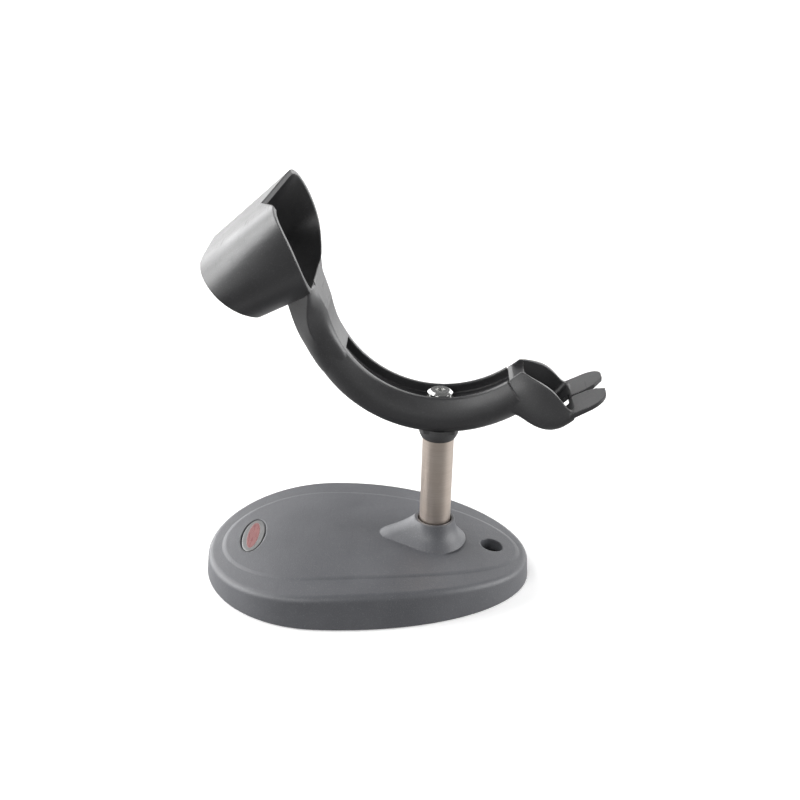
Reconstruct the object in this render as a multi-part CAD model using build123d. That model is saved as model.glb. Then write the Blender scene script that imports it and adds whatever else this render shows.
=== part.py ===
from build123d import *
import os
from math import cos, radians, sin, sqrt, tan

# Stand that holds a handheld barcode scanner for hands-free use.
# Millimetres. +Z up, X along the base, -X is the front, where the head cup is.
# The origin is on the table, on the axis of the post. The stand is symmetric about Y = 0.

# ---- base ----
BASE_SPLIT_X = -57.6          # widest place of the egg outline
BASE_FRONT = 60.5             # length of the outline in front of the widest place
BASE_REAR = 107.5             # length behind it
BASE_HALF_WIDTH = 60.6
SKIRT_BOTTOM = 0.8            # the rubber feet lift the skirt this far off the table
SKIRT_DRAFT = 5.0             # degrees
DOME_X = -33.0                # highest place of the domed top
DOME_Z = 20.8
DOME_ALONG = 365.0            # radius of the dome along X
DOME_ACROSS = 767.0           # radius of the dome across Y
SHOULDER_RADIUS = 3.2
COVER_WALL = 2.5
PLATEAU_RISE = 0.5             # middle of the top, raised a little with a soft edge
PLATEAU_EDGE_RADIUS = 5.0
PLATEAU_FRONT_X = -109.5
PLATEAU_HALF_WIDTH = 44.3
PLATEAU_WIDEST_X = -60.0
PLATEAU_REAR_X = 44.0

BOSS_TOP = 31.3
BOSS_STATIONS = [             # height, then middle and radius of the round end, tip and radius of the nose
    (19.2, -1.2, 17.8, -31.6, 8.2),
    (21.4, -1.2, 15.7, -28.0, 7.0),
    (23.6, -0.9, 13.5, -23.4, 6.4),
    (27.0, -0.4, 11.4, -16.6, 6.6),
    (31.3, 0.0, 10.1, -10.5, 8.8),
]
POST_HOLE_RADIUS = 8.8

ANCHOR_X = 30.2               # screw well at the rear, for fixing the stand to a counter
ANCHOR_WELL_RADIUS = 6.0
ANCHOR_SCREW_RADIUS = 2.6
ANCHOR_SLEEVE_WALL = 1.6

BADGE_X = -94.5
BADGE_WELL = (6.6, 16.5)      # half sizes of the oval well, along X and Y
BADGE_PLATE = (5.7, 15.6)
BADGE_LABEL = (3.1, 12.6)
BADGE_TILT = 9.6              # degrees, the slope of the top at the badge
BADGE_DEPTH = 1.2

PLATE_THICKNESS = 2.0
PLATE_GAP = 0.3
BALLAST_BOTTOM = SKIRT_BOTTOM + PLATE_THICKNESS
BALLAST_THICKNESS = 6.5
BALLAST_TOP = BALLAST_BOTTOM + BALLAST_THICKNESS
BALLAST_INSET = 6.5
FOOT_RADIUS = 7.0
FOOT_THICKNESS = 1.8
FOOT_PLACES = {"front_left": (-92, 30), "front_right": (-92, -30),
               "rear_left": (12, 34), "rear_right": (12, -34)}
SCREW_PLACES = [(-76, 44), (-76, -44), (-4, 42), (-4, -42)]
SCREW_RADIUS = 1.5
SCREW_HEAD_RADIUS = 2.9
PILLAR_RADIUS = 3.6

# ---- post ----
POST_RADIUS = 15.875 / 2
POST_WALL = 1.6
POST_TOP = 87.7
PLUG_LENGTH = 12.0
BOLT_RADIUS = 4.0
BOLT_HEAD_ACROSS_FLATS = 13.0
BOLT_HEAD_HEIGHT = 3.0
WASHER_THICKNESS = 1.0
POST_WASHER_RADIUS = 8.5
POST_LOCK_RADIUS = 7.4
BOLT_RECESS = 3.6             # pocket under the ballast for the bolt's head and washers
BOLT_RECESS_RADIUS = 10.5
THREAD_FIT = 0.05             # radial gap drawn at a thread

# ---- cradle arm, an arc about the tilt axis ----
TILT_Z = 158.6                # height of the axis that the cradle tilts about
RIM_RADIUS = 56.0             # rims that carry the scanner's handle
FLOOR_RADIUS = 60.6           # floor of the channel between the rims
WEB_RADIUS = 64.0             # underside of that floor
BELLY_Z = 153.9               # centre of the arc of the arm's underside
BELLY_RADIUS = 71.3
ARM_HALF_WIDTH = 13.4
RIM_HALF_WIDTH = 9.2
RIM_ROUND = 0.9
CHANNEL_HALF_WIDTH = 7.6
CHANNEL_START = -55.5         # degrees about the tilt axis, negative towards the cup
CHANNEL_END = 35.6
CHANNEL_LIP_Z = 114.8
ARM_END = 38.0
POCKET_HALF_WIDTH = 9.2
POCKET_ANGLES = (-60.0, 33.0)
SLOT_HALF_WIDTH = 3.15
SLOT_ANGLES = (-39.0, 25.0)
ARM_TOP_ANGLE = -61.0

# ---- flare that widens the arm into the cup ----
FLARE_TANGENT_ANGLE = -78.0
FLARE_TOP = (-61.6, 163.4)
# angle, front radius and half width of its flat, side edge, back corner, and how sharp the side edge is
FLARE_STATIONS = [
    (-50.0, 58.0, 7.6, (12.5, 64.8), (2.4, 73.0), 0.0),
    (-59.0, 55.85, 9.3, (13.6, 64.2), (3.2, 73.25), 0.0),
    (-69.0, 55.85, 9.4, (15.8, 66.0), (7.4, 73.4), 0.6),
    (-79.0, 55.85, 10.4, (20.4, 64.8), (9.6, 73.9), 1.0),
    (-88.0, 58.45, 12.7, (25.6, 62.8), (10.0, 75.6), 1.0),
    (-94.5, 61.65, 14.6, (29.2, 62.9), (10.2, 77.4), 1.0),
]
RELIEF_Y = 14.0

# ---- head cup, a tapered oval sleeve ----
CUP_ORIGIN = (-68.0, 184.0)   # X and Z of the middle of the mouth
CUP_DROP = 36.4               # degrees that the sleeve's axis falls towards the front
# sections of the sleeve: flat front wall's distance from the axis, half its width, half width of
# the sleeve, back corner's place, and the back wall's distance
CUP_MOUTH = (20.2, 27.0, 46.0, (28.0, -23.6), -29.0)
CUP_NOSE = (16.9, 11.0, 43.5, (30.5, -15.6), -18.9)
CUP_NOSE_DEPTH = 45.0         # how far along the sleeve the second section is
CUP_WALL = 2.4
MOUTH_EAR = (-77.2, 202.9)
MOUTH_MIDDLE = (-66.5, 183.2)
MOUTH_BOTTOM = (-61.2, 162.2)
NOTCH_DEPTH = 12.6
NOTCH_HALF_WIDTH = 32.3
NOSE_FRONT = (-112.1, 172.0)
NOSE_BACK = (-83.5, 146.9)

# ---- tail that holds the end of the handle and its lead ----
CREST_X = 40.5                # the trough falls away behind the channel's end
TAIL_OUTER = [                # x, then half width and height at the floor, the middle and the top
    (33.0, (8.6, 96.0), (13.2, 102.0), (8.8, 113.2)),
    (41.0, (11.0, 94.2), (13.9, 105.0), (9.9, 117.2)),
    (48.0, (13.0, 91.1), (15.9, 103.0), (14.3, 114.4)),
    (55.0, (14.6, 91.0), (17.7, 100.0), (16.8, 110.0)),
    (60.0, (16.0, 93.6), (18.8, 98.6), (18.0, 104.6)),
    (64.5, (17.2, 97.8), (19.3, 100.2), (19.5, 102.6)),
]
TAIL_INNER = [
    (40.5, (6.0, 98.5), (10.6, 107.0), (7.4, 124.0)),
    (48.0, (9.6, 94.6), (13.2, 104.0), (11.8, 121.0)),
    (55.0, (11.2, 94.2), (15.0, 101.0), (14.3, 116.0)),
    (60.0, (12.6, 97.6), (16.2, 103.0), (15.6, 112.0)),
    (64.6, (13.6, 102.7), (16.6, 106.0), (17.0, 112.0)),
]
TONGUE_ROOT = (63.9, 102.4)
TONGUE_TIP = (79.5, 110.3)
TONGUE_TIP_THICKNESS = 1.5
TONGUE_THICKNESS = 3.2
TONGUE_HALF_WIDTH = 19.5
WINDOW = (55.2, 63.8, 4.8)    # opening for the lead: first x, last x, half width
WINDOW_FLOOR = 1.8            # thickness of the trough's floor round the window
FORK = [(62.0, 0.8), (71.5, 1.0), (75.6, 2.4), (84.0, 10.6)]     # x and half width of the slit and fork

# ---- saddle and clamp ----
SADDLE_GAP = 0.25
SADDLE_BOTTOM = 78.0
SADDLE_RIM = 84.6
SADDLE_LIP_RADIUS = 8.4
SADDLE_RADIUS = 10.0
SADDLE_BLOCK_HALF = (8.4, 8.8)
SOCKET_FIT = 0.04             # radial running clearance on the post
SOCKET_TOP = 88.0
CLAMP_RADIUS = 2.95
CLAMP_THREAD_FIT = 0.07
CLAMP_HEAD_RADIUS = 6.3
CLAMP_HEAD_BOTTOM = 100.7
CLAMP_HEAD_TOP = 103.4
CLAMP_TIP = 79.0
CLAMP_WASHER_RADIUS = 6.5


def write(name, shape):
    """Write one node. Its name is the name of the file."""
    export_step(shape, f"parts/{name}.step")


def upright_cylinder(radius, low, high, x=0.0, y=0.0):
    """Round bar along Z from the height low to the height high."""
    return Pos(x, y, (low + high) / 2) * Cylinder(radius, high - low)


def side_prism(face, half_width):
    """Solid whose side view is the face, reaching half_width each way from Y = 0."""
    return extrude(face, half_width, both=True)


def about_tilt(radius, angle):
    """Point at a radius and angle about the tilt axis. 0 degrees is straight down."""
    return (radius * sin(radians(angle)), TILT_Z - radius * cos(radians(angle)))


def side_sector(inner, outer, angle_a, angle_b):
    """Side view of a ring sector about the tilt axis."""
    middle = (angle_a + angle_b) / 2
    far_arc = ThreePointArc([about_tilt(outer, angle) for angle in (angle_a, middle, angle_b)])
    near_arc = ThreePointArc([about_tilt(inner, angle) for angle in (angle_b, middle, angle_a)])
    sides = [Line(far_arc @ 1, near_arc @ 0), Line(near_arc @ 1, far_arc @ 0)]
    return Plane.XZ * make_face([far_arc, near_arc] + sides)


# ================= base =================

def egg(front, rear, half_width, split_x):
    """Egg outline: two half ellipses that meet at the widest place."""
    front_half = EllipticalCenterArc((split_x, 0), front, half_width, 90, arc_size=180)
    rear_half = EllipticalCenterArc((split_x, 0), rear, half_width, -90, arc_size=180)
    return make_face(front_half + rear_half)


def base_outline(inset):
    return egg(BASE_FRONT - inset, BASE_REAR - inset, BASE_HALF_WIDTH - inset, BASE_SPLIT_X)


def dome(lift):
    """Everything below the top, which is domed along X and a little across Y, raised by lift."""
    reach = 90.0
    sag = DOME_ALONG - sqrt(DOME_ALONG ** 2 - reach ** 2)
    faces = []
    for y in (-70, -35, 0, 35, 70):
        top = DOME_Z + lift - y * y / (2 * DOME_ACROSS)
        outline = ThreePointArc((DOME_X - reach, top - sag), (DOME_X, top), (DOME_X + reach, top - sag))
        outline += Polyline((DOME_X + reach, top - sag), (DOME_X + reach, -20),
                            (DOME_X - reach, -20), (DOME_X - reach, top - sag))
        faces.append(Plane.XZ.offset(-y) * make_face(outline))
    return loft(faces)


def teardrop(middle_x, radius, nose_x, nose_radius):
    """Footprint of the boss: a circle drawn out to a rounded nose at the front."""
    tail = Pos(middle_x, 0) * Circle(radius)
    nose = Pos(nose_x + nose_radius, 0) * Circle(nose_radius)
    return make_hull((tail + nose).edges())


def post_boss():
    """Raised boss that carries the post, flared at its foot and drawn out in front."""
    return loft([Plane.XY.offset(z) * teardrop(*shape) for z, *shape in BOSS_STATIONS])


def plateau():
    """Raised middle of the top. Its edge is an arc that sinks into the dome."""
    radius = PLATEAU_EDGE_RADIUS
    spread = radius - sqrt(radius ** 2 - (radius - PLATEAU_RISE) ** 2)
    outline = egg(PLATEAU_WIDEST_X - PLATEAU_FRONT_X + spread, PLATEAU_REAR_X - PLATEAU_WIDEST_X + spread,
                  PLATEAU_HALF_WIDTH + spread, PLATEAU_WIDEST_X)
    block = extrude(Plane.XY.offset(3) * outline, 25) & dome(PLATEAU_RISE)
    edge = [e for e in block.edges() if e.center().Z > 8 and e.length > 30]
    return fillet(edge, radius)


def badge_plane():
    """Plane on the top surface at the badge."""
    height = DOME_Z + PLATEAU_RISE - (BADGE_X - DOME_X) ** 2 / (2 * DOME_ALONG)
    return Plane(origin=(BADGE_X, 0, height), x_dir=(cos(radians(BADGE_TILT)), 0, sin(radians(BADGE_TILT))),
                 z_dir=(-sin(radians(BADGE_TILT)), 0, cos(radians(BADGE_TILT))))


def cover_hollow():
    """Space under the cover, less the screw pillars, the rear well's sleeve and the post's collar."""
    hollow = extrude(base_outline(COVER_WALL + 0.4), 30) & dome(-COVER_WALL)
    for x, y in SCREW_PLACES:
        hollow -= upright_cylinder(PILLAR_RADIUS, SKIRT_BOTTOM + PLATE_THICKNESS, 40, x, y)
    hollow -= upright_cylinder(ANCHOR_WELL_RADIUS + ANCHOR_SLEEVE_WALL, BALLAST_TOP, 40, ANCHOR_X)
    return hollow - upright_cylinder(POST_HOLE_RADIUS + 2.6, BALLAST_TOP, 40)


def base_cover():
    top = 30.0
    draft = (top - SKIRT_BOTTOM) * tan(radians(SKIRT_DRAFT))
    foot_of_skirt = Plane.XY.offset(SKIRT_BOTTOM) * base_outline(0)
    skirt = loft([foot_of_skirt, Plane.XY.offset(top) * base_outline(draft)], ruled=True)
    shell = skirt & dome(0)
    rim = [e for e in shell.edges() if e.center().Z > SKIRT_BOTTOM + 3 and e.length > 30]
    shell = fillet(rim, SHOULDER_RADIUS)
    shell += plateau()
    shell += post_boss()
    shell -= badge_disc(BADGE_WELL, -BADGE_DEPTH, 6)
    shell -= cover_hollow()
    shell -= upright_cylinder(ANCHOR_WELL_RADIUS, 0, 30, ANCHOR_X)
    shell -= upright_cylinder(POST_HOLE_RADIUS, 0, 40)
    for x, y in SCREW_PLACES:
        shell -= upright_cylinder(SCREW_RADIUS, 0, 12.5, x, y)
    return shell


def ballast():
    plate = extrude(Plane.XY.offset(BALLAST_BOTTOM) * base_outline(BALLAST_INSET), BALLAST_THICKNESS)
    for x, y in SCREW_PLACES:
        plate -= upright_cylinder(PILLAR_RADIUS + 0.4, 0, 30, x, y)
    plate -= upright_cylinder(ANCHOR_SCREW_RADIUS, 0, 30, ANCHOR_X)
    plate -= upright_cylinder(BOLT_RADIUS + 0.25, 0, 30)
    plate -= upright_cylinder(BOLT_RECESS_RADIUS, 0, BALLAST_BOTTOM + BOLT_RECESS)
    return plate


def bottom_plate():
    outline = base_outline(COVER_WALL + 0.4 + PLATE_GAP)
    plate = extrude(Plane.XY.offset(SKIRT_BOTTOM) * outline, PLATE_THICKNESS)
    for x, y in SCREW_PLACES:
        plate -= upright_cylinder(SCREW_RADIUS + 0.2, 0, 5, x, y)
        plate -= upright_cylinder(SCREW_HEAD_RADIUS + 0.3, 0, SKIRT_BOTTOM + 1.0, x, y)
    for x, y in FOOT_PLACES.values():
        plate -= upright_cylinder(FOOT_RADIUS, 0, FOOT_THICKNESS, x, y)
    plate -= upright_cylinder(ANCHOR_SCREW_RADIUS + 0.4, 0, 5, ANCHOR_X)
    plate -= upright_cylinder(12.0, 0, 5)
    return plate


def bottom_screw(x, y):
    """Pan-head screw that goes up through the bottom plate into a pillar."""
    head = upright_cylinder(SCREW_HEAD_RADIUS, SKIRT_BOTTOM + 0.1, SKIRT_BOTTOM + 1.0, x, y)
    shank = upright_cylinder(SCREW_RADIUS, SKIRT_BOTTOM + 1.0, 11.0, x, y)
    cross = Pos(x, y, SKIRT_BOTTOM + 0.35) * (Box(3.4, 0.7, 0.6) + Box(0.7, 3.4, 0.6))
    return head + shank - cross


def foot(x, y):
    pad = upright_cylinder(FOOT_RADIUS, 0, FOOT_THICKNESS, x, y)
    return chamfer(pad.faces().sort_by(Axis.Z)[0].edges(), 0.5)


def badge_disc(half_sizes, low, high):
    """Oval plate lying in the badge well, between two depths below the top."""
    return extrude(badge_plane().offset(low) * Ellipse(*half_sizes), high - low)


def badge_plate():
    """Oval frame in the well, with a pocket for the label."""
    plate = badge_disc(BADGE_PLATE, -BADGE_DEPTH, -0.15)
    plate = fillet(plate.edges().group_by(Axis.Z)[-1], 0.4)
    return plate - badge_disc(BADGE_LABEL, -0.5, 2)


def badge_label():
    return badge_disc(BADGE_LABEL, -0.5, -0.1)


# ================= post =================

def post_tube():
    tube = upright_cylinder(POST_RADIUS, BALLAST_TOP, POST_TOP)
    tube -= upright_cylinder(POST_RADIUS - POST_WALL, 0, 200)
    return chamfer(tube.edges().filter_by(GeomType.CIRCLE).group_by(Axis.Z)[-1], 0.4)


def post_plug(low, bore):
    """Threaded steel plug pressed into an end of the tube."""
    plug = upright_cylinder(POST_RADIUS - POST_WALL, low, low + PLUG_LENGTH)
    return plug - upright_cylinder(bore, 0, 200)


def ring(inner, outer, low, high):
    return upright_cylinder(outer, low, high) - upright_cylinder(inner, low - 1, high + 1)


def post_bolt():
    """Hexagon bolt from below, through the ballast into the foot plug."""
    seat = BALLAST_BOTTOM + BOLT_RECESS - 2 * WASHER_THICKNESS
    hexagon = RegularPolygon(BOLT_HEAD_ACROSS_FLATS / 2, 6, major_radius=False)
    head = extrude(Plane.XY.offset(seat - BOLT_HEAD_HEIGHT) * hexagon, BOLT_HEAD_HEIGHT)
    return head + upright_cylinder(BOLT_RADIUS, seat, BALLAST_TOP + PLUG_LENGTH - 1)


def bolt_washer(outer, step):
    """Washer number step below the ballast's recess."""
    high = BALLAST_BOTTOM + BOLT_RECESS - step * WASHER_THICKNESS
    return ring(BOLT_RADIUS + 0.2, outer, high - WASHER_THICKNESS, high)


def post_lock_washer():
    """Split spring washer between the flat washer and the bolt's head."""
    washer = bolt_washer(POST_LOCK_RADIUS, 1)
    return washer - Pos(BOLT_RADIUS + 1.5, 0, BALLAST_BOTTOM + 2) * Rot(0, 0, 15) * Box(5, 0.8, 6)


# ================= saddle and clamp =================

def saddle():
    """Collar that turns on the post, with a block that fits up inside the arm's pocket."""
    outline = Line((0, SADDLE_BOTTOM), (SADDLE_LIP_RADIUS, SADDLE_BOTTOM))
    outline += ThreePointArc((SADDLE_LIP_RADIUS, SADDLE_BOTTOM), (9.6, 80.2), (SADDLE_RADIUS, 82.8))
    outline += Polyline((SADDLE_RADIUS, 82.8), (SADDLE_RADIUS, SADDLE_RIM), (0, SADDLE_RIM), (0, SADDLE_BOTTOM))
    bowl = revolve(Plane.XZ * make_face(outline), Axis.Z)
    half_x, half_y = SADDLE_BLOCK_HALF
    block = Pos(0, 0, 90) * Box(2 * half_x, 2 * half_y, 14)
    block = fillet(block.edges().filter_by(Axis.Z), 1.5)
    body = bowl + block
    seat = Pos(0, 0, TILT_Z) * Rot(90, 0, 0) * Cylinder(WEB_RADIUS + SADDLE_GAP, 60)
    body -= seat
    body -= upright_cylinder(POST_RADIUS + SOCKET_FIT, 0, SOCKET_TOP)
    return body - upright_cylinder(CLAMP_RADIUS + 0.2, 0, 200)


def clamp_washer():
    """Thick washer whose underside is curved to ride on the channel floor."""
    disc = ring(CLAMP_RADIUS + 0.15, CLAMP_WASHER_RADIUS, 96, CLAMP_HEAD_BOTTOM - 0.9)
    rider = Pos(0, 0, TILT_Z) * Rot(90, 0, 0) * Cylinder(FLOOR_RADIUS - SADDLE_GAP, 60)
    return disc & rider


def clamp_lock_washer():
    """Split spring washer, flattened under the head."""
    washer = ring(CLAMP_RADIUS + 0.15, 5.2, CLAMP_HEAD_BOTTOM - 0.9, CLAMP_HEAD_BOTTOM)
    gap = Pos(4.2, 0, CLAMP_HEAD_BOTTOM) * Rot(0, 0, 20) * Box(6, 0.7, 4)
    return washer - gap


def clamp_screw():
    head = upright_cylinder(CLAMP_HEAD_RADIUS, CLAMP_HEAD_BOTTOM, CLAMP_HEAD_TOP)
    head = chamfer(head.faces().sort_by(Axis.Z)[-1].edges(), 1.0, 1.5)
    socket = RegularPolygon(2.0, 6, major_radius=False)
    head -= extrude(Plane.XY.offset(CLAMP_HEAD_TOP - 1.6) * socket, 5)
    return head + upright_cylinder(CLAMP_RADIUS, CLAMP_TIP, CLAMP_HEAD_BOTTOM)


# ================= cradle =================

def handle_space():
    """Clear space in front of the arm, where the scanner's handle lies."""
    tangent = about_tilt(RIM_RADIUS, FLARE_TANGENT_ANGLE)
    right = about_tilt(RIM_RADIUS, 75)
    outline = ThreePointArc(tangent, about_tilt(RIM_RADIUS, 0), right)
    outline += Polyline(right, (120, 240), (-80, 240), FLARE_TOP, tangent)
    return side_prism(Plane.XZ * make_face(outline), 60)


def arm_section():
    """Cross-section of the arm at its lowest place, seen along X."""
    belly = BELLY_Z - BELLY_RADIUS
    rim = TILT_Z - RIM_RADIUS
    widest = (ARM_HALF_WIDTH, belly + 9.6)
    half = Spline((0, belly), widest, (RIM_HALF_WIDTH - 1.2, rim + 2.5), tangents=[(1, 0), (-0.62, 1)])
    half += Line((RIM_HALF_WIDTH - 1.2, rim + 2.5), (0, rim + 2.5))
    outline = half + mirror(half, Plane.YZ)
    return Plane.YZ * make_face(outline)


def arm():
    """The arc: a rounded bar bent about the underside's centre and cut back to the rims."""
    axis = Axis((0, 0, BELLY_Z), (0, 1, 0))
    sweep = ARM_END - ARM_TOP_ANGLE
    bar = revolve(arm_section(), axis, revolution_arc=sweep)
    bar = bar.rotate(axis, -ARM_END) - handle_space()
    rims = [e for e in bar.edges() if abs(e.center().Y) > 6 and e.length > 60 and e.center().Z > BELLY_Z - 62]
    return fillet(rims, RIM_ROUND)


def flare_section(angle, front, flat, edge, back, sharp):
    """Flat front that falls away to an edge at each side, and a back that slants in to the spine."""
    half = Line((0, front), (flat, front))
    half += Spline((flat, front), edge, tangents=[(1, 0.3 * sharp), (0.1 + 0.6 * sharp, 1)])
    slant = (back[0] - edge[0], back[1] - edge[1])
    leave = (0.1 * (1 - sharp) + slant[0] * sharp, (1 - sharp) * 8 + slant[1] * sharp)
    arrive = (-8 * (1 - sharp) + slant[0] * sharp, slant[1] * sharp)
    half += Spline(edge, back, tangents=[leave, arrive])
    half += Line(back, (0, back[1] + 0.4))
    turn = radians(angle)
    plane = Plane(origin=(0, 0, TILT_Z), x_dir=(0, 1, 0), z_dir=(-cos(turn), 0, -sin(turn)))
    return plane * make_face(half + mirror(half, Plane.YZ))


def flare():
    """Upper arm: it widens from the arc into the cup, and leaves an edge at each side."""
    return loft([flare_section(*station) for station in FLARE_STATIONS])


def cup_plane(depth):
    """Plane across the sleeve. Its x runs along Y and its y towards the flat front wall."""
    drop = radians(CUP_DROP)
    x0, z0 = CUP_ORIGIN
    origin = (x0 - depth * cos(drop), 0, z0 - depth * sin(drop))
    return Plane(origin=origin, x_dir=(0, 1, 0), z_dir=(cos(drop), 0, sin(drop)))


def cup_section(depth, wall):
    """Oval section: flat in front, round at the sides, narrower behind."""
    share = depth / CUP_NOSE_DEPTH
    front = CUP_MOUTH[0] + share * (CUP_NOSE[0] - CUP_MOUTH[0]) - wall
    flat = CUP_MOUTH[1] + share * (CUP_NOSE[1] - CUP_MOUTH[1])
    wide = CUP_MOUTH[2] + share * (CUP_NOSE[2] - CUP_MOUTH[2]) - wall
    corner_y = CUP_MOUTH[3][0] + share * (CUP_NOSE[3][0] - CUP_MOUTH[3][0]) - 0.7 * wall
    corner_n = CUP_MOUTH[3][1] + share * (CUP_NOSE[3][1] - CUP_MOUTH[3][1]) + 0.7 * wall
    back = CUP_MOUTH[4] + share * (CUP_NOSE[4] - CUP_MOUTH[4]) + wall
    half = Line((0, front), (flat, front))
    half += Spline((flat, front), (wide, 0), (corner_y, corner_n), tangents=[(1, 0), (-1, -0.6)])
    half += Spline((corner_y, corner_n), (0, back), tangents=[(-1, -0.6), (-1, 0)])
    return cup_plane(depth) * make_face(half + mirror(half, Plane.YZ))


def sleeve(wall):
    return loft([cup_section(-25, wall), cup_section(75, wall)], ruled=True)


def cup_trim():
    """Side view of the space the cup may fill, between its mouth and its open nose."""
    outline = ThreePointArc(MOUTH_EAR, MOUTH_MIDDLE, MOUTH_BOTTOM)
    outline += Polyline(MOUTH_BOTTOM, (-61.5, 150), NOSE_BACK, NOSE_FRONT, (-112, 196), MOUTH_EAR)
    return side_prism(Plane.XZ * make_face(outline), 60)


def notch():
    """V cut into the mouth's front edge, between the two ears."""
    plane = cup_plane(0)
    drop = radians(CUP_DROP)
    x0, z0 = CUP_ORIGIN
    ear_depth = -(MOUTH_EAR[0] - x0) * cos(drop) - (MOUTH_EAR[1] - z0) * sin(drop)
    top = Plane(origin=plane.origin, x_dir=(0, 1, 0), z_dir=(-sin(drop), 0, cos(drop)))
    slope = NOTCH_DEPTH / NOTCH_HALF_WIDTH
    wide = NOTCH_HALF_WIDTH + 8
    tip = ear_depth + NOTCH_DEPTH
    edge = tip - slope * wide
    face = make_face(Polyline((0, tip), (wide, edge), (wide, -40), (-wide, -40), (-wide, edge), close=True))
    return extrude(top * face, 40)


def cup():
    return (sleeve(0) - sleeve(CUP_WALL)) & cup_trim()


def tail_loft(stations):
    """Trough seen along X: a flat floor, sides that bow out, and a straight top."""
    sections = []
    for x, floor, middle, top in stations:
        half = Line((0, floor[1]), floor)
        half += Spline(floor, middle, top, tangents=[(1, 0.12), (top[0] - middle[0], top[1] - middle[1])])
        half += Line(top, (0, top[1]))
        sections.append(Plane.YZ.offset(x) * make_face(half + mirror(half, Plane.YZ)))
    return loft(sections)


def tongue():
    """Flat tongue at the end of the trough, thinner towards its two prongs."""
    root_x, root_z = TONGUE_ROOT
    tip_x, tip_z = TONGUE_TIP
    slope = (tip_z - root_z) / (tip_x - root_x)
    start_x = root_x - 3
    start_z = root_z - 3 * slope
    outline = Polyline((start_x, start_z), TONGUE_TIP, (tip_x + 0.5, tip_z - TONGUE_TIP_THICKNESS),
                       (start_x, start_z - TONGUE_THICKNESS), close=True)
    slab = side_prism(Plane.XZ * make_face(outline), TONGUE_HALF_WIDTH)
    plan = Pos(start_x + 10, 0) * Rectangle(2 * (tip_x - start_x) - 20, 2 * TONGUE_HALF_WIDTH)
    plan = fillet(plan.vertices().sort_by(Axis.X)[2:], 8.0)
    return slab & extrude(plan, 200)


def lead_opening():
    """Window for the scanner's lead, with a slit that runs out to the fork."""
    first, last, half_width = WINDOW
    window = Pos((first + last) / 2, 0) * Rectangle(last - first, 2 * half_width)
    window = fillet(window.vertices().sort_by(Axis.X)[2:], 1.5)
    slit = make_face(Polyline(*FORK, *[(x, -y) for x, y in reversed(FORK)], close=True))
    under = Pos((first + last) / 2 - 0.9, 0) * Rectangle(last - first + 2.2, 2 * half_width + 5)
    thinned = extrude(under, 110) - Pos(0, 0, -WINDOW_FLOOR) * tail_loft(TAIL_INNER)
    return extrude(window + slit, 200) + thinned


def clamp_slot():
    """Slot along the channel floor that the clamp screw slides in."""
    cut = side_prism(side_sector(FLOOR_RADIUS - 4, WEB_RADIUS + 4, *SLOT_ANGLES), SLOT_HALF_WIDTH)
    for angle in SLOT_ANGLES:
        end = Pos(0, 0, TILT_Z) * Rot(0, -angle, 0) * Pos(0, 0, -WEB_RADIUS) * Cylinder(SLOT_HALF_WIDTH, 16)
        cut += end
    return cut


def relief_slits():
    """Two short slits in the arm's top edge, where it meets the mouth of the cup."""
    x, z = FLARE_TOP
    slits = Pos(x, 0, z - 1) * (Pos(0, RELIEF_Y) * Box(6, 1.3, 4.6) + Pos(0, -RELIEF_Y) * Box(6, 1.3, 4.6))
    return slits


def cradle():
    body = arm() + (flare() - handle_space()) + cup() + (tail_loft(TAIL_OUTER) - handle_space()) + tongue()
    body -= sleeve(CUP_WALL) & cup_trim()
    body -= notch()
    body -= side_prism(side_sector(40, FLOOR_RADIUS, CHANNEL_START, CHANNEL_END), CHANNEL_HALF_WIDTH)
    body -= Pos(CREST_X - 5, 0, CHANNEL_LIP_Z + 10) * Box(12, 2 * CHANNEL_HALF_WIDTH, 20)
    body -= side_prism(side_sector(WEB_RADIUS, 90, *POCKET_ANGLES), POCKET_HALF_WIDTH)
    body -= clamp_slot()
    body -= tail_loft(TAIL_INNER)
    body -= lead_opening()
    body -= relief_slits()
    return body


def bottom_screws():
    """The four identical screws, as separate solids."""
    return Compound([bottom_screw(x, y) for x, y in SCREW_PLACES])


NODES = {
    "base_cover": base_cover,
    "ballast_plate": ballast,
    "bottom_plate": bottom_plate,
    "bottom_screws": bottom_screws,
    "foot_front_left": lambda: foot(*FOOT_PLACES["front_left"]),
    "foot_front_right": lambda: foot(*FOOT_PLACES["front_right"]),
    "foot_rear_left": lambda: foot(*FOOT_PLACES["rear_left"]),
    "foot_rear_right": lambda: foot(*FOOT_PLACES["rear_right"]),
    "badge_plate": badge_plate,
    "badge_label": badge_label,
    "post_tube": post_tube,
    "post_foot_plug": lambda: post_plug(BALLAST_TOP, BOLT_RADIUS + THREAD_FIT),
    "post_head_plug": lambda: post_plug(POST_TOP - PLUG_LENGTH - 0.6, CLAMP_RADIUS + CLAMP_THREAD_FIT),
    "post_bolt": post_bolt,
    "post_flat_washer": lambda: bolt_washer(POST_WASHER_RADIUS, 0),
    "post_lock_washer": post_lock_washer,
    "saddle": saddle,
    "clamp_screw": clamp_screw,
    "clamp_washer": clamp_washer,
    "clamp_lock_washer": clamp_lock_washer,
    "cradle": cradle,
}


def main():
    os.makedirs("parts", exist_ok=True)
    for name, make in NODES.items():
        write(name, make())


main()
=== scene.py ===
import bpy
import math
from mathutils import Matrix, Vector

# Looks for the stand of a handheld barcode scanner: its finishes, the floor, the light and the camera.
# Metres, in the frame of the CAD. Every piece is the CAD's own, so none is added, moved or replaced.

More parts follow.
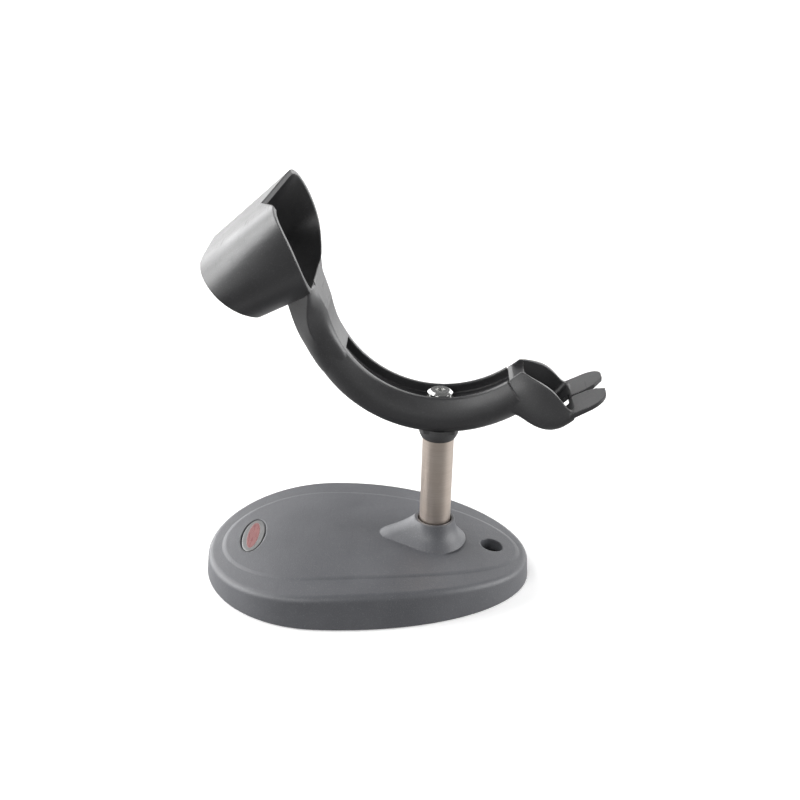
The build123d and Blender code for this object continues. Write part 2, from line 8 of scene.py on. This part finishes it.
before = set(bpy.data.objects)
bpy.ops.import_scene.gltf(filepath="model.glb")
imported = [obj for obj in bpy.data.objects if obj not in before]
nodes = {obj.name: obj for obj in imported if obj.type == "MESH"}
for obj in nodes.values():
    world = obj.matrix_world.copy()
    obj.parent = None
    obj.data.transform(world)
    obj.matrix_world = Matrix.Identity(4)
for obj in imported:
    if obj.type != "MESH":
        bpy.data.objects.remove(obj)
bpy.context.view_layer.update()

MM = 0.001


# ---------------------------------------------------------------- materials

class Finish:
    """A material made of nodes, with helpers for the patterns that the finishes share.

    Patterns are laid out in the object's own metres, so they keep their size on every piece.
    """

    def __init__(self, name, **constants):
        self.material = bpy.data.materials.new(name)
        self.material.use_nodes = True
        self.tree = self.material.node_tree
        self.shader = self.tree.nodes["Principled BSDF"]
        for socket, value in constants.items():
            self.shader.inputs[socket.replace("_", " ")].default_value = value
        self.place = self.add("ShaderNodeTexCoord").outputs["Object"]

    def add(self, kind, **settings):
        node = self.tree.nodes.new(kind)
        for key, value in settings.items():
            setattr(node, key, value)
        return node

    def link(self, source, target):
        self.tree.links.new(source, target)

    def stretched(self, scale, turn=(0, 0, 0)):
        """The place on the object, turned and scaled, for patterns that run in one direction."""
        mapping = self.add("ShaderNodeMapping")
        mapping.inputs["Scale"].default_value = scale
        mapping.inputs["Rotation"].default_value = turn
        self.link(self.place, mapping.inputs["Vector"])
        return mapping.outputs["Vector"]

    def noise(self, scale, detail=3.0, rough=0.5, where=None):
        """Cloudy pattern from 0 to 1. The scale is in features per metre."""
        node = self.add("ShaderNodeTexNoise")
        node.inputs["Scale"].default_value = scale
        node.inputs["Detail"].default_value = detail
        node.inputs["Roughness"].default_value = rough
        self.link(where or self.place, node.inputs["Vector"])
        return node.outputs["Fac"]

    def grains(self, scale):
        """Small round cells, such as a spark-eroded mould leaves on plastic."""
        node = self.add("ShaderNodeTexVoronoi", feature="SMOOTH_F1")
        node.inputs["Scale"].default_value = scale
        self.link(self.place, node.inputs["Vector"])
        return node.outputs["Distance"]

    def spread(self, source, low, high, out_low, out_high):
        """Turns low to high into out_low to out_high, and holds those values outside."""
        node = self.add("ShaderNodeMapRange")
        for index, value in enumerate((low, high, out_low, out_high)):
            node.inputs[index + 1].default_value = value
        self.link(source, node.inputs[0])
        return node.outputs[0]

    def maths(self, operation, first, second):
        """One operation on two values, each a number or a socket."""
        node = self.add("ShaderNodeMath", operation=operation)
        for socket, value in zip(node.inputs, (first, second)):
            if isinstance(value, (int, float)):
                socket.default_value = value
            else:
                self.link(value, socket)
        return node.outputs[0]

    def blend_colour(self, factor, first, second):
        """Goes from the first colour to the second. Each is a tuple or a socket."""
        node = self.add("ShaderNodeMix", data_type="RGBA")
        self.link(factor, node.inputs[0])
        for socket, value in ((node.inputs[6], first), (node.inputs[7], second)):
            if isinstance(value, tuple):
                socket.default_value = (*value, 1)
            else:
                self.link(value, socket)
        return node.outputs[2]

    def rounded(self, radius):
        """The direction that the surface would face if its edges had this radius."""
        node = self.add("ShaderNodeBevel", samples=4)
        node.inputs["Radius"].default_value = radius
        return node.outputs[0]

    def edges(self, radius):
        """1 on outer and inner edges, fading to 0 on flat and gently curved surface."""
        geometry = self.add("ShaderNodeNewGeometry")
        agreement = self.add("ShaderNodeVectorMath", operation="DOT_PRODUCT")
        self.link(self.rounded(radius), agreement.inputs[0])
        self.link(geometry.outputs["Normal"], agreement.inputs[1])
        return self.spread(agreement.outputs["Value"], 0.98, 0.8, 0, 1)

    def colour(self, source):
        self.link(source, self.shader.inputs["Base Color"])

    def roughness(self, source):
        self.link(source, self.shader.inputs["Roughness"])

    def relief(self, edge_radius, *layers):
        """Softens the edges, then adds heights. Each layer is (height from 0 to 1, depth)."""
        normal = self.rounded(edge_radius)
        for height, depth in layers:
            node = self.add("ShaderNodeBump")
            node.inputs["Strength"].default_value = 1.0
            node.inputs["Distance"].default_value = depth
            self.link(height, node.inputs["Height"])
            self.link(normal, node.inputs["Normal"])
            normal = node.outputs[0]
        self.link(normal, self.shader.inputs["Normal"])


def moulded(name, dark, light, worn_and_highlight, rough, grain, depth, edge_radius, specular=0.5):
    """Moulded plastic: fine eroded grain, uneven gloss, faint scuffs, and polished edges painted paler, part
    wear and part painted highlight.

    The grain is in cells per metre, and depth is how deep it goes.
    """
    finish = Finish(name, Specular_IOR_Level=specular, IOR=1.5)
    edge = finish.edges(0.9 * MM)

    cloud = finish.spread(finish.noise(22, 4.0, 0.55), 0.35, 0.68, 0, 1)
    speck = finish.spread(finish.noise(1900, 2.0), 0.55, 0.75, 0, 0.5)
    # Patches that vary how pale the edges are painted; the paleness is part wear, part painted highlight.
    edge_wear_and_highlight_patches = finish.spread(finish.noise(160, 3.0), 0.4, 0.7, 0.15, 0.8)
    body = finish.blend_colour(cloud, dark, light)
    body = finish.blend_colour(speck, body, worn_and_highlight)
    # Edges painted paler: part edge wear, part a painted highlight along every edge.
    finish.colour(finish.blend_colour(finish.maths("MULTIPLY", edge, edge_wear_and_highlight_patches), body, worn_and_highlight))

    streaks = finish.noise(900, 2.0, 0.6, finish.stretched((1.0, 0.06, 0.35), (0.3, 0.2, 0.6)))
    scuffs = finish.spread(streaks, 0.60, 0.74, 0, 0.10)
    uneven = finish.spread(finish.noise(45, 4.0, 0.6), 0.3, 0.7, rough - 0.04, rough + 0.05)
    polish = finish.maths("MULTIPLY", edge, 0.08)
    finish.roughness(finish.maths("SUBTRACT", finish.maths("ADD", uneven, scuffs), polish))

    finish.relief(edge_radius, (finish.grains(grain), depth), (finish.noise(140, 2.0), depth * 2.0))
    return finish.material


def brushed(name, base, pale, smeared, rough, lines_per_metre):
    """Brushed or turned metal, with fine lines, a few darker smears and a painted highlight along its edges.
    """
    finish = Finish(name, Metallic=1.0, Anisotropic=0.35)
    lines = finish.noise(1.0, 4.0, 0.7, finish.stretched(lines_per_metre))
    smear = finish.noise(60, 3.0, 0.6)
    body = finish.blend_colour(finish.spread(lines, 0.3, 0.7, 0, 1), base, pale)
    if smeared:
        body = finish.blend_colour(finish.spread(smear, 0.4, 0.75, 0, 0.5), body, smeared)
    # Edges painted brighter: a painted highlight along every edge.
    bright = tuple(min(1, level * 1.15) for level in pale)
    finish.colour(finish.blend_colour(finish.edges(0.5 * MM), body, bright))
    gloss = finish.spread(lines, 0.25, 0.75, rough - 0.06, rough + 0.08)
    finish.roughness(finish.maths("ADD", gloss, finish.spread(smear, 0.45, 0.8, 0, 0.08)))
    finish.relief(0.2 * MM, (lines, 0.01 * MM))
    return finish.material


def cast(name):
    """Rough dark cast metal with a little rust."""
    finish = Finish(name, Metallic=0.4)
    skin = finish.noise(700, 5.0, 0.7)
    rust = finish.spread(finish.noise(90, 4.0, 0.6), 0.62, 0.75, 0, 0.5)
    body = finish.blend_colour(skin, (0.010, 0.010, 0.010), (0.028, 0.026, 0.025))
    finish.colour(finish.blend_colour(rust, body, (0.045, 0.022, 0.012)))
    finish.roughness(finish.spread(skin, 0.3, 0.7, 0.5, 0.75))
    finish.relief(0.4 * MM, (skin, 0.15 * MM))
    return finish.material


def rubber(name):
    """Black rubber, dull, with dust in its pores."""
    finish = Finish(name, Specular_IOR_Level=0.35, Sheen_Weight=0.08)
    dust = finish.spread(finish.noise(220, 5.0, 0.65), 0.5, 0.8, 0, 0.5)
    finish.colour(finish.blend_colour(dust, (0.016, 0.016, 0.017), (0.07, 0.066, 0.06)))
    finish.roughness(finish.spread(finish.noise(400, 3.0), 0.3, 0.7, 0.62, 0.85))
    finish.relief(0.2 * MM, (finish.noise(2600, 3.0), 0.03 * MM))
    return finish.material


def lacquer(name, base, light, rim_highlight, rough, coat):
    """Smooth printed or painted piece under a clear coat, with hair scratches and edges painted paler as a
    highlight.
    """
    finish = Finish(name, Coat_Weight=coat, Coat_Roughness=0.12, IOR=1.5)
    cloud = finish.spread(finish.noise(120, 3.0), 0.35, 0.7, 0, 1)
    body = finish.blend_colour(cloud, base, light)
    # Edges painted paler: a painted highlight along the outline of the piece.
    edge = finish.maths("MULTIPLY", finish.edges(0.4 * MM), 0.6)
    finish.colour(finish.blend_colour(edge, body, rim_highlight))
    hair = finish.noise(1.0, 3.0, 0.7, finish.stretched((2600, 160, 900), (0, 0, 0.5)))
    finish.roughness(finish.spread(hair, 0.35, 0.75, rough, rough + 0.16))
    finish.relief(0.3 * MM, (hair, 0.008 * MM), (finish.noise(500, 2.0), 0.01 * MM))
    return finish.material


def plated(name):
    """Bright plating: near mirror, with fine swirl marks and tiny pits."""
    finish = Finish(name, Metallic=1.0)
    swirl = finish.noise(1.0, 3.0, 0.7, finish.stretched((900, 2600, 700), (0.4, 0.1, 0.9)))
    pits = finish.spread(finish.noise(3200, 2.0), 0.66, 0.76, 0, 0.5)
    shade = finish.spread(swirl, 0.3, 0.7, 0, 1)
    body = finish.blend_colour(shade, (0.62, 0.62, 0.61), (0.76, 0.76, 0.75))
    finish.colour(finish.blend_colour(pits, body, (0.35, 0.34, 0.32)))
    finish.roughness(finish.spread(swirl, 0.3, 0.75, 0.10, 0.24))
    finish.relief(0.25 * MM, (swirl, 0.004 * MM))
    return finish.material


# In each moulded finish the pale colour marks specks and edges; on the edges it is part wear, part painted
# highlight.
shell_grey = moulded(
    "shell_grey", dark=(0.064, 0.066, 0.073), light=(0.086, 0.088, 0.096), worn_and_highlight=(0.15, 0.152, 0.16),
    rough=0.48, grain=2100, depth=0.06 * MM, edge_radius=0.9 * MM, specular=0.6)
cradle_black = moulded(
    "cradle_black", dark=(0.017, 0.017, 0.018), light=(0.022, 0.022, 0.0235), worn_and_highlight=(0.060, 0.060, 0.063),
    rough=0.40, grain=2400, depth=0.03 * MM, edge_radius=1.2 * MM, specular=0.7)
underside_black = moulded(
    "underside_black", dark=(0.020, 0.020, 0.021), light=(0.028, 0.028, 0.030), worn_and_highlight=(0.06, 0.06, 0.06),
    rough=0.55, grain=1500, depth=0.05 * MM, edge_radius=0.3 * MM)
saddle_dark = moulded(
    "saddle_dark", dark=(0.034, 0.034, 0.035), light=(0.044, 0.044, 0.045), worn_and_highlight=(0.09, 0.09, 0.09),
    rough=0.46, grain=1700, depth=0.03 * MM, edge_radius=0.4 * MM)
post_metal = brushed(
    "post_metal", base=(0.62, 0.535, 0.465), pale=(0.77, 0.68, 0.61), smeared=(0.54, 0.45, 0.385),
    rough=0.34, lines_per_metre=(30, 30, 2600))
zinc = brushed(
    "zinc", base=(0.50, 0.50, 0.47), pale=(0.66, 0.66, 0.62), smeared=(0.45, 0.44, 0.36),
    rough=0.32, lines_per_metre=(900, 900, 900))
turned_steel = brushed(
    "turned_steel", base=(0.34, 0.34, 0.34), pale=(0.50, 0.50, 0.50), smeared=None,
    rough=0.30, lines_per_metre=(40, 40, 3500))
bright_plate = plated("bright_plate")
# The pale edge colours given to the badge pieces are painted highlights along their edges.
badge_frame = lacquer(
    "badge_frame", base=(0.12, 0.12, 0.12), light=(0.17, 0.17, 0.17), rim_highlight=(0.60, 0.60, 0.58),
    rough=0.26, coat=0.3)
badge_red = lacquer(
    "badge_red", base=(0.19, 0.062, 0.062), light=(0.24, 0.095, 0.09), rim_highlight=(0.34, 0.20, 0.19),
    rough=0.24, coat=0.25)
cast_iron = cast("cast_iron")
foot_rubber = rubber("foot_rubber")

finishes = {
    "base_cover": shell_grey,
    "ballast_plate": cast_iron,
    "bottom_plate": underside_black,
    "bottom_screws": zinc,
    "foot_front_left": foot_rubber,
    "foot_front_right": foot_rubber,
    "foot_rear_left": foot_rubber,
    "foot_rear_right": foot_rubber,
    "badge_plate": badge_frame,
    "badge_label": badge_red,
    "post_tube": post_metal,
    "post_foot_plug": turned_steel,
    "post_head_plug": turned_steel,
    "post_bolt": zinc,
    "post_flat_washer": zinc,
    "post_lock_washer": turned_steel,
    "saddle": saddle_dark,
    "clamp_screw": bright_plate,
    "clamp_washer": zinc,
    "clamp_lock_washer": turned_steel,
    "cradle": cradle_black,
}
for name, material in finishes.items():
    slots = nodes[name].data.materials
    slots.clear()
    slots.append(material)


# ---------------------------------------------------------------- floor, light and camera

FLOOR_HALF_WIDTH = 30.0


def pale_floor():
    """Pale floor with a weak glow. It is kept out of reflections and out of bounced light."""
    finish = Finish("pale_floor", Roughness=0.9, Specular_IOR_Level=0.1, Emission_Strength=0.25)
    finish.shader.inputs["Emission Color"].default_value = (1, 1, 1, 1)
    finish.colour(finish.blend_colour(finish.noise(3, 2.0), (0.86, 0.86, 0.86), (0.88, 0.88, 0.88)))
    half = FLOOR_HALF_WIDTH
    corners = [(-half, -half, 0), (half, -half, 0), (half, half, 0), (-half, half, 0)]
    mesh = bpy.data.meshes.new("floor")
    mesh.from_pydata(corners, [], [(0, 1, 2, 3)])
    mesh.materials.append(finish.material)
    floor = bpy.data.objects.new("floor", mesh)
    bpy.context.scene.collection.objects.link(floor)
    floor.visible_diffuse = False
    floor.visible_glossy = False


def soft_sun(name, towards, strength, spread):
    """Wide even light that shines along the direction towards. The spread is in degrees."""
    lamp = bpy.data.lights.new(name, "SUN")
    lamp.energy = strength
    lamp.angle = math.radians(spread)
    holder = bpy.data.objects.new(name, lamp)
    holder.rotation_euler = Vector(towards).to_track_quat("-Z", "Y").to_euler()
    bpy.context.scene.collection.objects.link(holder)


def studio_world(below, above):
    """Surroundings below and above the horizon, which is itself a thin white band.

    Each is a pair of levels, towards -Y and towards +Y. A direction's parts run from -1 to 1.
    """
    world = bpy.data.worlds.new("studio")
    world.use_nodes = True
    tree = world.node_tree
    place = tree.nodes.new("ShaderNodeTexCoord")
    direction = tree.nodes.new("ShaderNodeSeparateXYZ")
    tree.links.new(place.outputs["Generated"], direction.inputs[0])

    def ramp(axis, start, end, first, last):
        """Smooth change from first to last, as the direction goes from start to end on an axis."""
        node = tree.nodes.new("ShaderNodeMapRange")
        node.interpolation_type = "SMOOTHSTEP"
        for index, value in enumerate((start, end, first, last)):
            node.inputs[index + 1].default_value = value
        tree.links.new(direction.outputs[axis], node.inputs[0])
        return node.outputs[0]

    def maths(operation, first, second):
        node = tree.nodes.new("ShaderNodeMath")
        node.operation = operation
        tree.links.new(first, node.inputs[0])
        tree.links.new(second, node.inputs[1])
        return node.outputs[0]

    level = tree.nodes.new("ShaderNodeMix")
    tree.links.new(ramp("Z", 0.08, 0.40, 0, 1), level.inputs[0])
    tree.links.new(ramp("Y", -0.75, 0.15, *below), level.inputs[2])
    tree.links.new(ramp("Y", -0.65, 0.15, *above), level.inputs[3])
    band = maths("MULTIPLY", ramp("Z", -0.08, -0.02, 0, 1), ramp("Z", 0.11, 0.19, 1, 0))
    surface = tree.nodes["Background"]
    surface.inputs["Color"].default_value = (1, 1, 1, 1)
    tree.links.new(maths("MAXIMUM", band, level.outputs[0]), surface.inputs["Strength"])
    bpy.context.scene.world = world


def look_at(focus, distance, azimuth, elevation, roll, lens):
    """Camera at an azimuth from the front (-Y) and an elevation, turned by roll about its axis.

    Angles are in degrees, and the lens is a focal length in mm for a frame 36 mm wide.
    """
    across = math.radians(azimuth)
    up = math.radians(elevation)
    back = Vector((math.sin(across) * math.cos(up), -math.cos(across) * math.cos(up), math.sin(up)))
    camera = bpy.data.cameras.new("camera")
    camera.sensor_width = 36
    camera.lens = lens
    camera.clip_start = 0.01
    holder = bpy.data.objects.new("camera", camera)
    level = (-back).to_track_quat("-Z", "Y").to_matrix().to_4x4()
    holder.matrix_world = level @ Matrix.Rotation(math.radians(roll), 4, "Z")
    holder.location = Vector(focus) + back * distance
    bpy.context.scene.collection.objects.link(holder)
    bpy.context.scene.camera = holder


pale_floor()
studio_world(below=(0.28, 0.80), above=(0.05, 0.20))
soft_sun("left_box", towards=(0.95, 0.05, -0.3), strength=3.9, spread=45)
soft_sun("right_box", towards=(-0.95, 0.05, -0.3), strength=3.4, spread=45)
soft_sun("back_left_box", towards=(0.7, -0.7, -0.22), strength=2.2, spread=50)
soft_sun("back_right_box", towards=(-0.5, -0.8, -0.25), strength=1.0, spread=50)
soft_sun("upper_left_box", towards=(0.6, -0.4, -0.7), strength=0.8, spread=40)
soft_sun("left_front_box", towards=(0.4, 0.74, -0.56), strength=1.3, spread=32)
bpy.context.scene.view_settings.view_transform = "Standard"
look_at(focus=(-0.01974, 0, 0.09691), distance=0.60598, azimuth=1.16, elevation=24.57, roll=1.67, lens=55.07)
